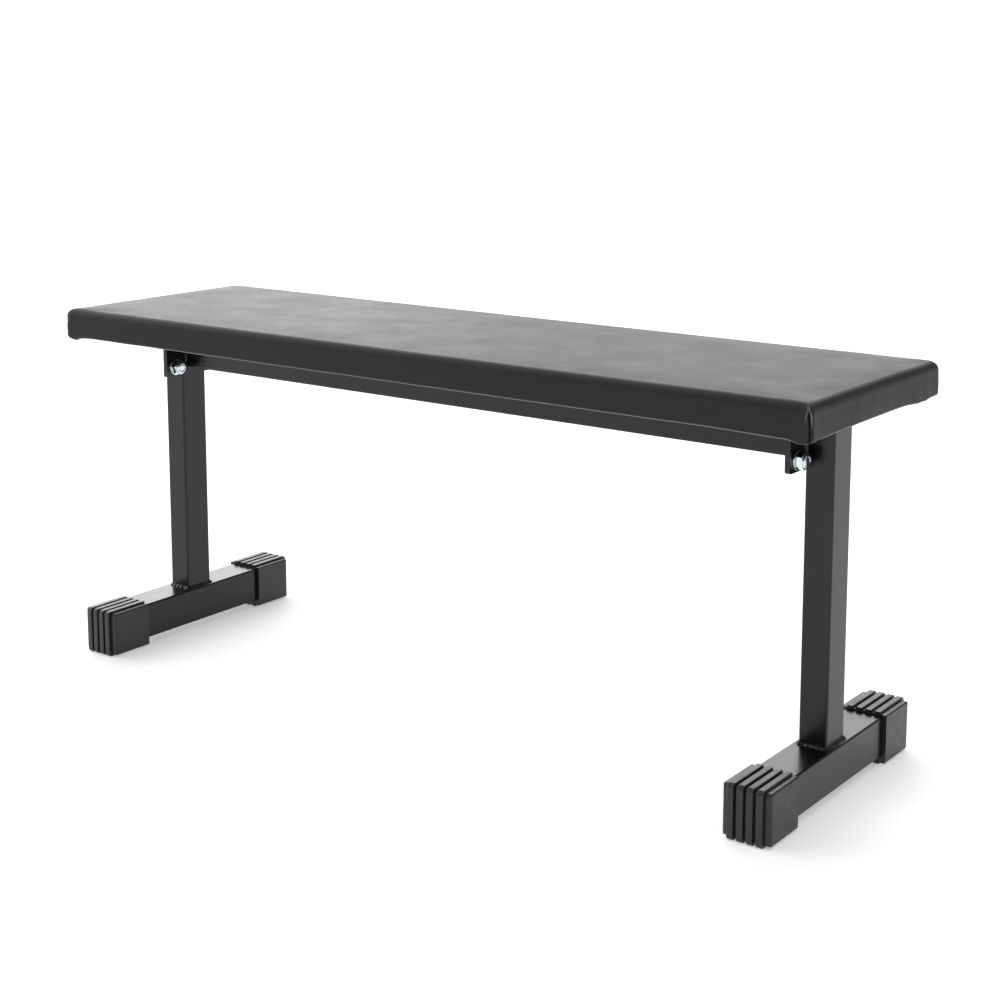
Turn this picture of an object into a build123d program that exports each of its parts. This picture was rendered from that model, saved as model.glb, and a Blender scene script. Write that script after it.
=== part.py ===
"""Flat weight bench: upholstered pad on a bolted tube frame with rubber-capped feet.

Frame: origin on the floor at the bench's centre, +X along its length, +Y across its width, +Z up.
Every leg, bracket and fastener is placed from the driving dimensions below. Millimetres.
"""
from build123d import *
import os

os.makedirs("parts", exist_ok=True)

# ---------------------------------------------------------------- driving dimensions
SEAT_HEIGHT = 440.0          # floor to the top of the pad
PAD_LENGTH = 1040.0
PAD_WIDTH = 300.0
PAD_HEIGHT = 36.0            # cover, foam and board together
PAD_CORNER = 12.0            # plan radius of the pad's four corners
PAD_EDGE = 10.0              # radius of the pad's soft top edge
COVER_THICKNESS = 1.0
BOARD_THICKNESS = 12.0
HEM_WIDTH = 32.0             # how far the cover turns in under the board

LEG_SPACING = 930.0          # centre to centre of the two posts
POST_X = 32.0                # post tube, along the bench
POST_Y = 40.0                # post tube, across the bench
TUBE_WALL = 2.0
TUBE_CORNER = 2.5            # outside corner radius of every tube
POST_TOP = 400.0

FOOT_TUBE = 45.0             # square foot tube
FOOT_TUBE_BOTTOM = 9.0       # height of its underside above the floor
FOOT_REACH = 162.0           # bench centre plane to the outermost face of a foot cap

RAIL_WIDTH = 40.0
RAIL_HEIGHT = 45.0
RAIL_BOTTOM = 354.0

PLATE_THICKNESS = 3.0
PLATE_WIDTH = 106.0
PLATE_BOTTOM = 344.0
PLATE_CORNER = 3.0

BRACKET_OFFSETS = (-330.0, 0.0, 330.0)
BRACKET_LENGTH = 220.0       # across the bench
BRACKET_WIDTH = 40.0

CAP_WIDTH = 54.0             # smooth block of the rubber cap, along the bench
CAP_BOTTOM = 2.0             # underside of the smooth block
CAP_TOP = 56.0
CAP_INNER_END = 101.0        # distance of the open end from the centre plane
CAP_END_WALL = 4.0
CAP_CORNER = 4.0             # radius round the outer end
CAP_EDGE = 2.0               # radius along the sides
RIB_COUNT = 4
RIB_PITCH = 10.7
RIB_WIDTH = 7.6
RIB_PROUD_END = 4.0
RIB_TOP = 58.5
RIB_NOSE = 5.0               # radius where a rib turns round the outer end
RIB_EDGE = 1.2

FRAME_BOLT_Y = 38.0          # frame bolts sit either side of the post
FRAME_BOLT_Z = 356.5
PAD_BOLT_Y = 80.0            # pad bolts sit either side of the rail
BOLT_TIP = 1.0               # chamfer at the end of each frame bolt
HOLE_CLEARANCE = 1.0         # added to a bolt's diameter for a plain hole
WELD = 4.0                   # leg of the larger fillet welds
SMALL_WELD = 3.0

STAPLE_CROWN = 10.0
STAPLE_WIRE = 1.0
STAPLE_LEG = 6.0
STAPLE_INSET = 18.0          # staple line's distance from the pad's edge
STAPLES_ALONG = 13           # on each long side
STAPLES_ACROSS = 4           # on each short side

# ---------------------------------------------------------------- sizes that follow
PAD_BOTTOM = SEAT_HEIGHT - PAD_HEIGHT
BOARD_BOTTOM = PAD_BOTTOM + COVER_THICKNESS
BOARD_TOP = BOARD_BOTTOM + BOARD_THICKNESS
RAIL_TOP = RAIL_BOTTOM + RAIL_HEIGHT
BRACKET_THICKNESS = BOARD_BOTTOM - RAIL_TOP
FOOT_TUBE_TOP = FOOT_TUBE_BOTTOM + FOOT_TUBE
LEG_X = LEG_SPACING / 2
PLATE_FACE = LEG_X - POST_X / 2              # inner face of a post, where its plate is welded
PLATE_JOINT = PLATE_FACE - PLATE_THICKNESS   # faces of leg plate and seat plate meet here
RAIL_END = PLATE_JOINT - PLATE_THICKNESS
CAP_BLOCK_END = FOOT_REACH - RIB_PROUD_END
FOOT_TUBE_END = CAP_BLOCK_END - CAP_END_WALL
SIDES = {"left": -1, "right": 1}

# Frame bolts are M10 with low button heads and lock nuts.
FRAME_SHANK = 10.0
FRAME_BOLT_LENGTH = 18.0     # from under the head
BUTTON_HEAD = 18.0
BUTTON_HEIGHT = 4.5
BUTTON_ROUND = 4.0
SOCKET_FLATS = 6.0
SOCKET_DEPTH = 3.0
FRAME_WASHER = 21.0
FRAME_WASHER_HEIGHT = 2.0
NUT_FLATS = 17.0
NUT_HEX_HEIGHT = 7.5
NUT_COLLAR_HEIGHT = 2.5      # round collar that holds the locking ring
NUT_COLLAR_DIAMETER = 14.6
# Pad bolts are M8 with hexagon heads, and screw into tee nuts in the board.
PAD_SHANK = 8.0
PAD_BOLT_LENGTH = 16.0
PAD_HEAD_FLATS = 13.0
PAD_HEAD_HEIGHT = 5.3
PAD_WASHER = 16.0
PAD_WASHER_HEIGHT = 1.6
TEE_FLANGE = 22.0
TEE_FLANGE_HEIGHT = 1.5
TEE_BARREL = 10.0
TEE_LENGTH = 10.5


def save(builder, label):
    """Label the finished piece and write it as its own STEP file."""
    builder.part.label = label
    export_step(builder.part, f"parts/{label}.step")


def tube(plane, across, up, length):
    """Rectangular steel tube drawn on a plane and extruded along its normal."""
    with BuildPart() as piece:
        with BuildSketch(plane):
            RectangleRounded(across, up, TUBE_CORNER)
            inner = TUBE_CORNER - TUBE_WALL
            RectangleRounded(across - 2 * TUBE_WALL, up - 2 * TUBE_WALL, inner, mode=Mode.SUBTRACT)
        extrude(amount=length)
    return piece


def facing_x(x, y=0.0, z=0.0):
    """Plane at a point, looking along +X, with its own x axis along +Y."""
    return Plane(origin=(x, y, z), x_dir=(0, 1, 0), z_dir=(1, 0, 0))


def facing_y(x, y=0.0, z=0.0):
    """Plane at a point, looking along +Y, with its own x axis along -X."""
    return Plane(origin=(x, y, z), x_dir=(-1, 0, 0), z_dir=(0, 1, 0))


# ---------------------------------------------------------------- pad
# Shape of the foam and board together: the cover fits it closely.
with BuildPart() as pad_core:
    with BuildSketch(Plane.XY.offset(BOARD_BOTTOM)):
        core_corner = PAD_CORNER - COVER_THICKNESS
        RectangleRounded(PAD_LENGTH - 2 * COVER_THICKNESS, PAD_WIDTH - 2 * COVER_THICKNESS, core_corner)
    extrude(amount=PAD_HEIGHT - 2 * COVER_THICKNESS)
    fillet(pad_core.edges().group_by(Axis.Z)[-1], PAD_EDGE - COVER_THICKNESS)

# Staples hold the turned-in hem: each is a crown on the hem and two legs in the board.
staple_x = PAD_LENGTH / 2 - STAPLE_INSET
staple_y = PAD_WIDTH / 2 - STAPLE_INSET
along_pitch = 2 * (staple_x - HEM_WIDTH) / (STAPLES_ALONG - 1)
across_pitch = 2 * (staple_y - HEM_WIDTH) / (STAPLES_ACROSS - 1)
staple_profile_depth = COVER_THICKNESS + STAPLE_LEG
with BuildPart() as pad_staples:
    for line_y in (-staple_y, staple_y):
        with BuildSketch(facing_y(0, line_y - STAPLE_WIRE / 2, PAD_BOTTOM)):
            with GridLocations(along_pitch, 0, STAPLES_ALONG, 1):
                with Locations((0, (staple_profile_depth - STAPLE_WIRE) / 2)):
                    Rectangle(STAPLE_CROWN, staple_profile_depth + STAPLE_WIRE)
                with Locations((0, staple_profile_depth / 2)):
                    Rectangle(STAPLE_CROWN - 2 * STAPLE_WIRE, staple_profile_depth, mode=Mode.SUBTRACT)
        extrude(amount=STAPLE_WIRE)
    for line_x in (-staple_x, staple_x):
        with BuildSketch(facing_x(line_x - STAPLE_WIRE / 2, 0, PAD_BOTTOM)):
            with GridLocations(across_pitch, 0, STAPLES_ACROSS, 1):
                with Locations((0, (staple_profile_depth - STAPLE_WIRE) / 2)):
                    Rectangle(STAPLE_CROWN, staple_profile_depth + STAPLE_WIRE)
                with Locations((0, staple_profile_depth / 2)):
                    Rectangle(STAPLE_CROWN - 2 * STAPLE_WIRE, staple_profile_depth, mode=Mode.SUBTRACT)
        extrude(amount=STAPLE_WIRE)
save(pad_staples, "pad_staples")

with BuildPart() as pad_cover:
    with BuildSketch(Plane.XY.offset(PAD_BOTTOM)):
        RectangleRounded(PAD_LENGTH, PAD_WIDTH, PAD_CORNER)
    extrude(amount=PAD_HEIGHT)
    fillet(pad_cover.edges().group_by(Axis.Z)[-1], PAD_EDGE)
    add(pad_core.part, mode=Mode.SUBTRACT)
    with BuildSketch(Plane.XY.offset(PAD_BOTTOM)):
        RectangleRounded(PAD_LENGTH - 2 * HEM_WIDTH, PAD_WIDTH - 2 * HEM_WIDTH, PAD_CORNER)
    extrude(amount=COVER_THICKNESS, mode=Mode.SUBTRACT)
    add(pad_staples.part, mode=Mode.SUBTRACT)
save(pad_cover, "pad_cover")

with BuildPart() as pad_foam:
    add(pad_core.part)
    split(bisect_by=Plane.XY.offset(BOARD_TOP), keep=Keep.TOP)
save(pad_foam, "pad_foam")

pad_bolt_places = [(x, y) for x in BRACKET_OFFSETS for y in (-PAD_BOLT_Y, PAD_BOLT_Y)]
with BuildPart() as pad_board:
    add(pad_core.part)
    split(bisect_by=Plane.XY.offset(BOARD_TOP), keep=Keep.BOTTOM)
    with Locations(*[(x, y, BOARD_TOP) for x, y in pad_bolt_places]):
        CounterBoreHole(TEE_BARREL / 2, TEE_FLANGE / 2, TEE_FLANGE_HEIGHT, BOARD_THICKNESS)
    add(pad_staples.part, mode=Mode.SUBTRACT)
save(pad_board, "pad_board")

# Tee nuts: flange let into the top of the board, threaded barrel in its hole.
with BuildPart() as pad_tee_nuts:
    with BuildSketch(Plane.XY.offset(BOARD_TOP - TEE_FLANGE_HEIGHT)):
        with Locations(*pad_bolt_places):
            Circle(TEE_FLANGE / 2)
            Circle(PAD_SHANK / 2, mode=Mode.SUBTRACT)
    extrude(amount=TEE_FLANGE_HEIGHT)
    with BuildSketch(Plane.XY.offset(BOARD_TOP - TEE_LENGTH)):
        with Locations(*pad_bolt_places):
            Circle(TEE_BARREL / 2)
            Circle(PAD_SHANK / 2, mode=Mode.SUBTRACT)
    extrude(amount=TEE_LENGTH - TEE_FLANGE_HEIGHT)
save(pad_tee_nuts, "pad_tee_nuts")

# ---------------------------------------------------------------- seat frame
rail_plane = facing_x(-RAIL_END, 0, RAIL_BOTTOM + RAIL_HEIGHT / 2)
spine_rail = tube(rail_plane, RAIL_WIDTH, RAIL_HEIGHT, 2 * RAIL_END)
save(spine_rail, "spine_rail")

for bracket_name, bracket_x in zip(("left", "centre", "right"), BRACKET_OFFSETS):
    with BuildPart() as pad_bracket:
        with BuildSketch(Plane(origin=(bracket_x, 0, RAIL_TOP))):
            RectangleRounded(BRACKET_WIDTH, BRACKET_LENGTH, PLATE_CORNER)
            with Locations((0, -PAD_BOLT_Y), (0, PAD_BOLT_Y)):
                Circle((PAD_SHANK + HOLE_CLEARANCE) / 2, mode=Mode.SUBTRACT)
        extrude(amount=BRACKET_THICKNESS)
    save(pad_bracket, f"pad_bracket_{bracket_name}")


def end_plate(start_x):
    """Flat plate with two bolt holes, from start_x towards +X."""
    height = BOARD_BOTTOM - PLATE_BOTTOM
    middle = PLATE_BOTTOM + height / 2
    hole_z = FRAME_BOLT_Z - middle
    with BuildPart() as plate:
        with BuildSketch(facing_x(start_x, 0, middle)):
            RectangleRounded(PLATE_WIDTH, height, PLATE_CORNER)
            with Locations((-FRAME_BOLT_Y, hole_z), (FRAME_BOLT_Y, hole_z)):
                Circle((FRAME_SHANK + HOLE_CLEARANCE) / 2, mode=Mode.SUBTRACT)
        extrude(amount=PLATE_THICKNESS)
    return plate


save(end_plate(-PLATE_JOINT), "seat_plate_left")
save(end_plate(RAIL_END), "seat_plate_right")
save(end_plate(-PLATE_FACE), "leg_plate_left")
save(end_plate(PLATE_JOINT), "leg_plate_right")

# Fillet welds round each end of the rail: both sides and underneath.
for side, sign in SIDES.items():
    with BuildPart() as rail_weld:
        with BuildSketch(facing_x(sign * RAIL_END, 0, RAIL_BOTTOM + RAIL_HEIGHT / 2)) as weld_base:
            RectangleRounded(
                RAIL_WIDTH + 2 * SMALL_WELD,
                RAIL_HEIGHT + 2 * SMALL_WELD,
                TUBE_CORNER + SMALL_WELD,
            )
        extrude(amount=-sign * SMALL_WELD, taper=45)
        with BuildSketch(facing_x(sign * RAIL_END, 0, RAIL_BOTTOM + RAIL_HEIGHT / 2)):
            RectangleRounded(RAIL_WIDTH, RAIL_HEIGHT, TUBE_CORNER)
        extrude(amount=-sign * SMALL_WELD, mode=Mode.SUBTRACT)
        split(bisect_by=Plane.XY.offset(RAIL_TOP - TUBE_CORNER), keep=Keep.BOTTOM)
    save(rail_weld, f"rail_weld_{side}")

# ---------------------------------------------------------------- legs
for side, sign in SIDES.items():
    leg_x = sign * LEG_X
    post = tube(Plane(origin=(leg_x, 0, FOOT_TUBE_TOP)), POST_X, POST_Y, POST_TOP - FOOT_TUBE_TOP)
    save(post, f"post_{side}")

    foot_plane = facing_y(leg_x, -FOOT_TUBE_END, FOOT_TUBE_BOTTOM + FOOT_TUBE / 2)
    foot_tube = tube(foot_plane, FOOT_TUBE, FOOT_TUBE, 2 * FOOT_TUBE_END)
    save(foot_tube, f"foot_tube_{side}")

    # Weld round the foot of the post.
    with BuildPart() as foot_weld:
        with BuildSketch(Plane(origin=(leg_x, 0, FOOT_TUBE_TOP))):
            RectangleRounded(POST_X + 2 * WELD, POST_Y + 2 * WELD, TUBE_CORNER + WELD)
        extrude(amount=WELD, taper=45)
        with BuildSketch(Plane(origin=(leg_x, 0, FOOT_TUBE_TOP))):
            RectangleRounded(POST_X, POST_Y, TUBE_CORNER)
        extrude(amount=WELD, mode=Mode.SUBTRACT)
    save(foot_weld, f"foot_weld_{side}")

    # Two upright welds in the corners between the post and its plate.
    with BuildPart() as plate_weld:
        with BuildSketch(Plane(origin=(sign * PLATE_FACE, 0, PLATE_BOTTOM))):
            for edge in (-1, 1):
                with BuildLine():
                    Polyline(
                        (0, edge * (POST_Y / 2 - TUBE_CORNER)),
                        (0, edge * (POST_Y / 2 + WELD)),
                        (sign * TUBE_CORNER, edge * POST_Y / 2),
                        close=True,
                    )
                make_face()
        extrude(amount=POST_TOP - PLATE_BOTTOM)
        with BuildSketch(Plane(origin=(leg_x, 0, PLATE_BOTTOM))):
            RectangleRounded(POST_X, POST_Y, TUBE_CORNER)
        extrude(amount=POST_TOP - PLATE_BOTTOM, mode=Mode.SUBTRACT)
    save(plate_weld, f"plate_weld_{side}")

# ---------------------------------------------------------------- rubber foot caps
rib_middle = (CAP_INNER_END + FOOT_REACH) / 2
for side, sign in SIDES.items():
    for end, outward in (("front", -1), ("back", 1)):
        leg_x = sign * LEG_X
        # One rib: a slab that wraps over the top, the outer end and the underside.
        with BuildPart() as rib:
            with BuildSketch(facing_x(leg_x - RIB_WIDTH / 2, outward * rib_middle, RIB_TOP / 2)):
                Rectangle(FOOT_REACH - CAP_INNER_END, RIB_TOP)
            extrude(amount=RIB_WIDTH)
            far_end = rib.faces().sort_by(Axis.Y)[-1 if outward > 0 else 0]
            fillet(far_end.edges().filter_by(Axis.X), RIB_NOSE)
            inner_end = rib.faces().sort_by(Axis.Y)[0 if outward > 0 else -1]
            rims = rib.edges().group_by(Axis.X)[0] + rib.edges().group_by(Axis.X)[-1]
            fillet([edge for edge in rims if edge not in inner_end.edges()], RIB_EDGE)

        with BuildPart() as foot_cap:
            cap_plane = facing_y(leg_x, outward * CAP_INNER_END, (CAP_BOTTOM + CAP_TOP) / 2)
            with BuildSketch(cap_plane):
                Rectangle(CAP_WIDTH, CAP_TOP - CAP_BOTTOM)
            extrude(amount=outward * (CAP_BLOCK_END - CAP_INNER_END))
            fillet(foot_cap.edges().filter_by(Axis.Y), CAP_EDGE)
            outer_face = foot_cap.faces().sort_by(Axis.Y)[-1 if outward > 0 else 0]
            fillet(outer_face.edges(), CAP_CORNER)
            first_rib = -RIB_PITCH * (RIB_COUNT - 1) / 2
            with Locations(*[(first_rib + RIB_PITCH * n, 0, 0) for n in range(RIB_COUNT)]):
                add(rib.part)
            # Socket for the foot tube.
            with BuildSketch(facing_y(leg_x, outward * CAP_INNER_END, FOOT_TUBE_BOTTOM + FOOT_TUBE / 2)):
                RectangleRounded(FOOT_TUBE, FOOT_TUBE, TUBE_CORNER)
            extrude(amount=outward * (FOOT_TUBE_END - CAP_INNER_END), mode=Mode.SUBTRACT)
        save(foot_cap, f"foot_cap_{side}_{end}")

# ---------------------------------------------------------------- frame bolts
# Each bolt points along +X: button head, both plates, a large washer and a lock nut.
stack_starts = (-PLATE_FACE, RAIL_END)
washer_start = 2 * PLATE_THICKNESS
nut_start = washer_start + FRAME_WASHER_HEIGHT
bolt_rows = [(start, y) for start in stack_starts for y in (-FRAME_BOLT_Y, FRAME_BOLT_Y)]

with BuildPart() as frame_washers:
    for start, y in bolt_rows:
        with BuildSketch(facing_x(start + washer_start, y, FRAME_BOLT_Z)):
            Circle(FRAME_WASHER / 2)
            Circle((FRAME_SHANK + HOLE_CLEARANCE) / 2, mode=Mode.SUBTRACT)
        extrude(amount=FRAME_WASHER_HEIGHT)
save(frame_washers, "frame_washers")

with BuildPart() as lock_nuts:
    for start, y in bolt_rows:
        with BuildSketch(facing_x(start + nut_start, y, FRAME_BOLT_Z)):
            RegularPolygon(NUT_FLATS / 2, 6, major_radius=False)
            Circle(FRAME_SHANK / 2, mode=Mode.SUBTRACT)
        extrude(amount=NUT_HEX_HEIGHT)
        with BuildSketch(facing_x(start + nut_start + NUT_HEX_HEIGHT, y, FRAME_BOLT_Z)):
            Circle(NUT_COLLAR_DIAMETER / 2)
            Circle(FRAME_SHANK / 2, mode=Mode.SUBTRACT)
        extrude(amount=NUT_COLLAR_HEIGHT)
save(lock_nuts, "lock_nuts")

with BuildPart() as frame_bolts:
    for start, y in bolt_rows:
        with BuildSketch(facing_x(start - BUTTON_HEIGHT, y, FRAME_BOLT_Z)):
            Circle(BUTTON_HEAD / 2)
        extrude(amount=BUTTON_HEIGHT)
    for start in stack_starts:
        crown_x = start - BUTTON_HEIGHT
        rims = frame_bolts.edges().filter_by(GeomType.CIRCLE)
        fillet(rims.filter_by_position(Axis.X, crown_x - BOLT_TIP, crown_x + BOLT_TIP), BUTTON_ROUND)
    for start, y in bolt_rows:
        with BuildSketch(facing_x(start - BUTTON_HEIGHT, y, FRAME_BOLT_Z)):
            RegularPolygon(SOCKET_FLATS / 2, 6, major_radius=False)
        extrude(amount=SOCKET_DEPTH, mode=Mode.SUBTRACT)
        with BuildSketch(facing_x(start, y, FRAME_BOLT_Z)):
            Circle(FRAME_SHANK / 2)
        extrude(amount=FRAME_BOLT_LENGTH)
    for start in stack_starts:
        tip_x = start + FRAME_BOLT_LENGTH
        rims = frame_bolts.edges().filter_by(GeomType.CIRCLE)
        chamfer(rims.filter_by_position(Axis.X, tip_x - BOLT_TIP, tip_x + BOLT_TIP), BOLT_TIP)
save(frame_bolts, "frame_bolts")

# ---------------------------------------------------------------- pad bolts
with BuildPart() as pad_washers:
    with BuildSketch(Plane.XY.offset(RAIL_TOP - PAD_WASHER_HEIGHT)):
        with Locations(*pad_bolt_places):
            Circle(PAD_WASHER / 2)
            Circle((PAD_SHANK + HOLE_CLEARANCE) / 2, mode=Mode.SUBTRACT)
    extrude(amount=PAD_WASHER_HEIGHT)
save(pad_washers, "pad_washers")

with BuildPart() as pad_bolts:
    under_head = RAIL_TOP - PAD_WASHER_HEIGHT
    with BuildSketch(Plane.XY.offset(under_head - PAD_HEAD_HEIGHT)):
        with Locations(*pad_bolt_places):
            RegularPolygon(PAD_HEAD_FLATS / 2, 6, major_radius=False)
    extrude(amount=PAD_HEAD_HEIGHT)
    with BuildSketch(Plane.XY.offset(under_head)):
        with Locations(*pad_bolt_places):
            Circle(PAD_SHANK / 2)
    extrude(amount=PAD_BOLT_LENGTH)
save(pad_bolts, "pad_bolts")
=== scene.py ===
"""Looks of the flat weight bench: upholstered pad, welds, fasteners, materials, studio and camera.

Everything is in metres in the part's own frame: floor at z = 0, length along X, width along Y.
Places come from the boxes of the CAD nodes.
"""
import math

import bmesh
import bpy
import numpy as np
from mathutils import Matrix, Vector
from mathutils.kdtree import KDTree
from mathutils.noise import noise


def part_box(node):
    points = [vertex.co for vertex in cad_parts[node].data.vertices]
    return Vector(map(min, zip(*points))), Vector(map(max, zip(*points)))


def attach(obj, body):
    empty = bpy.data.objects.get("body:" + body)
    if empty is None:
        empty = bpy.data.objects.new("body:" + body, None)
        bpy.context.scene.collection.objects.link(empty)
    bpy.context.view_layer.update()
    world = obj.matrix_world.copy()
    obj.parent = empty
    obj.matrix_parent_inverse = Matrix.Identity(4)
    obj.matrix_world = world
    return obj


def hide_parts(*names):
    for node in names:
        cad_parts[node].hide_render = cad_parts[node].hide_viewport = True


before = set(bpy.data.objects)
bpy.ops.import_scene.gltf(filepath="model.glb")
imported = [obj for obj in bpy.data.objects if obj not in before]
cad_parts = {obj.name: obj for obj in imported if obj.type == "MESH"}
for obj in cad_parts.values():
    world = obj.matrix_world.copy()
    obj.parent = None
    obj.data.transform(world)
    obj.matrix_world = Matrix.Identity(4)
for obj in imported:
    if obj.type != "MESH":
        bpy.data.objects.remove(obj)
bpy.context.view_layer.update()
MM = 0.001
SIDES = {"left": -1, "right": 1}


# ---------------------------------------------------------------- small helpers
def smooth_step(value, start, end):
    """0 before start, 1 after end and an even S curve between them."""
    share = np.clip((value - start) / (end - start), 0.0, 1.0)
    return share * share * (3 - 2 * share)


def fade(value, start, end):
    """1 before start, 0 after end and an even S curve between them."""
    return 1 - smooth_step(value, start, end)


def bell(value, middle, width):
    """Smooth bump of height 1."""
    return np.exp(-(((value - middle) / width) ** 2))


def make_piece(name, points, faces, material, sharp=math.radians(35)):
    """A mesh object that rides on the bench, smooth except where its faces meet at more than sharp."""
    mesh = bpy.data.meshes.new(name)
    mesh.from_pydata([tuple(map(float, p)) for p in points], [], faces)
    mesh.validate()
    mesh.polygons.foreach_set("use_smooth", [True] * len(mesh.polygons))
    mesh.set_sharp_from_angle(angle=sharp)
    mesh.materials.append(material)
    piece = bpy.data.objects.new(name, mesh)
    bpy.context.scene.collection.objects.link(piece)
    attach(piece, "root")
    return piece


# ---------------------------------------------------------------- materials
class Shader:
    """Node tree of one material, built up around its Principled shader."""

    def __init__(self, name, **settings):
        self.material = bpy.data.materials.new(name)
        self.material.use_nodes = True
        self.tree = self.material.node_tree
        self.tree.nodes.clear()
        self.out = self.tree.nodes.new("ShaderNodeOutputMaterial")
        self.surface = self.tree.nodes.new("ShaderNodeBsdfPrincipled")
        self.link(self.surface.outputs[0], self.out.inputs["Surface"])
        self.place = self.tree.nodes.new("ShaderNodeTexCoord").outputs["Object"]
        for socket, value in settings.items():
            self.surface.inputs[socket.replace("_", " ")].default_value = value

    def link(self, source, target):
        self.tree.links.new(source, target)

    def stretched(self, node, stretch):
        """Gives a texture node the object's own coordinates, scaled by stretch."""
        mapping = self.tree.nodes.new("ShaderNodeMapping")
        mapping.inputs["Scale"].default_value = stretch
        self.link(self.place, mapping.inputs["Vector"])
        self.link(mapping.outputs[0], node.inputs["Vector"])

    def noise(self, scale, detail=3.0, roughness=0.55, stretch=(1, 1, 1)):
        """Noise value from 0 to 1, with scale in features per metre."""
        node = self.tree.nodes.new("ShaderNodeTexNoise")
        node.inputs["Scale"].default_value = scale
        node.inputs["Detail"].default_value = detail
        node.inputs["Roughness"].default_value = roughness
        self.stretched(node, stretch)
        return node.outputs["Fac"]

    def cells(self, scale, feature="F1", randomness=1.0, stretch=(1, 1, 1)):
        """Voronoi distance, with scale in cells per metre."""
        node = self.tree.nodes.new("ShaderNodeTexVoronoi")
        node.feature = feature
        node.inputs["Scale"].default_value = scale
        node.inputs["Randomness"].default_value = randomness
        self.stretched(node, stretch)
        return node.outputs["Distance"]

    def spread(self, value, low, high, start=0.3, end=0.7):
        """Value mapped from start..end to low..high."""
        node = self.tree.nodes.new("ShaderNodeMapRange")
        for socket, number in zip(("From Min", "From Max", "To Min", "To Max"), (start, end, low, high)):
            node.inputs[socket].default_value = number
        self.link(value, node.inputs["Value"])
        return node.outputs["Result"]

    def math(self, operation, first, second):
        """Result of one arithmetic operation on sockets or numbers."""
        node = self.tree.nodes.new("ShaderNodeMath")
        node.operation = operation
        for socket, value in zip(node.inputs, (first, second)):
            if isinstance(value, (int, float)):
                socket.default_value = value
            else:
                self.link(value, socket)
        return node.outputs[0]

    def mix(self, share, first, second):
        """Colour between first and second by share."""
        node = self.tree.nodes.new("ShaderNodeMix")
        node.data_type = "RGBA"
        self.link(share, node.inputs["Factor"])
        for name, value in (("A", first), ("B", second)):
            socket = [s for s in node.inputs if s.name == name and s.type == "RGBA"][0]
            if isinstance(value, tuple):
                socket.default_value = (*value, 1.0)
            else:
                self.link(value, socket)
        return [s for s in node.outputs if s.type == "RGBA"][0]

    def attribute(self, name):
        """A number kept on the piece's points; 0 where a piece has none."""
        node = self.tree.nodes.new("ShaderNodeAttribute")
        node.attribute_name = name
        return node.outputs["Fac"]

    def edges(self, radius):
        """0 on flat faces, rising to 1 on edges sharper than radius."""
        bevel = self.tree.nodes.new("ShaderNodeBevel")
        bevel.samples = 4
        bevel.inputs["Radius"].default_value = radius
        geometry = self.tree.nodes.new("ShaderNodeNewGeometry")
        dot = self.tree.nodes.new("ShaderNodeVectorMath")
        dot.operation = "DOT_PRODUCT"
        self.link(bevel.outputs[0], dot.inputs[0])
        self.link(geometry.outputs["Normal"], dot.inputs[1])
        return self.spread(dot.outputs["Value"], 1.0, 0.0, 0.80, 0.99)

    def colour(self, value):
        self.link(value, self.surface.inputs["Base Color"])

    def roughness(self, value):
        self.link(value, self.surface.inputs["Roughness"])

    def bump(self, *layers):
        """Layers of (height value, depth in metres), one over the other."""
        below = None
        for height, depth in layers:
            node = self.tree.nodes.new("ShaderNodeBump")
            node.inputs["Strength"].default_value = 1.0
            node.inputs["Distance"].default_value = depth
            self.link(height, node.inputs["Height"])
            if below is not None:
                self.link(below, node.inputs["Normal"])
            below = node.outputs["Normal"]
        self.link(below, self.surface.inputs["Normal"])


def vinyl_material():
    """Black satin upholstery vinyl with a fine pebbled grain, and painted highlight lines along its folds
    and hem from the 'stretch' layer.
    """
    s = Shader("vinyl", Specular_IOR_Level=0.10)
    body = s.mix(s.noise(9, 4), (0.0200, 0.0200, 0.0209), (0.0240, 0.0238, 0.0247))
    # Painted highlight: the 'stretch' layer lightens the colour in thin lines along the corner folds' lips
    # and shoulders and along the hem's lower edge.
    s.colour(s.mix(s.attribute("stretch"), body, (0.17, 0.17, 0.174)))
    s.roughness(s.spread(s.noise(22, 5), 0.38, 0.44))
    pebble = s.cells(760, "SMOOTH_F1", stretch=(1, 1.15, 1))
    creases = s.cells(260, "DISTANCE_TO_EDGE", stretch=(1, 0.8, 1))
    s.bump((s.noise(60, 3), 0.00012), (s.spread(creases, 0, 1, 0.0, 0.12), 0.00003), (pebble, 0.00006))
    return s.material


def paint_material():
    """Satin black powder coat: fine orange peel, faint handling marks and slightly thinner edges."""
    s = Shader("frame_paint", Specular_IOR_Level=0.37)
    worn = s.math("MULTIPLY", s.edges(0.0012), s.spread(s.noise(160, 4), 0.0, 1.0))
    body = s.mix(s.noise(14, 3), (0.0026, 0.0026, 0.0027), (0.0042, 0.0041, 0.0042))
    s.colour(s.mix(worn, body, (0.020, 0.020, 0.021)))
    s.roughness(s.math("ADD", s.spread(s.noise(35, 4), 0.24, 0.27), s.math("MULTIPLY", worn, 0.08)))
    s.bump((s.noise(900, 2), 0.000006), (s.noise(240, 2), 0.000012))
    return s.material


def rubber_material():
    """Matt moulded rubber with a spark-eroded skin and light scuffs on its edges."""
    s = Shader("cap_rubber", Specular_IOR_Level=0.50)
    scuff = s.math("MULTIPLY", s.edges(0.0010), s.spread(s.noise(420, 4), 0.0, 1.0, 0.45, 0.75))
    body = s.mix(s.noise(30, 5), (0.0070, 0.0070, 0.0072), (0.0105, 0.0105, 0.0107))
    s.colour(s.mix(scuff, body, (0.030, 0.030, 0.030)))
    s.roughness(s.spread(s.noise(90, 5, 0.6), 0.33, 0.44))
    s.bump((s.noise(1500, 3), 0.00002), (s.noise(120, 3, 0.5, (0.3, 1, 1)), 0.00005))
    return s.material


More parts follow.
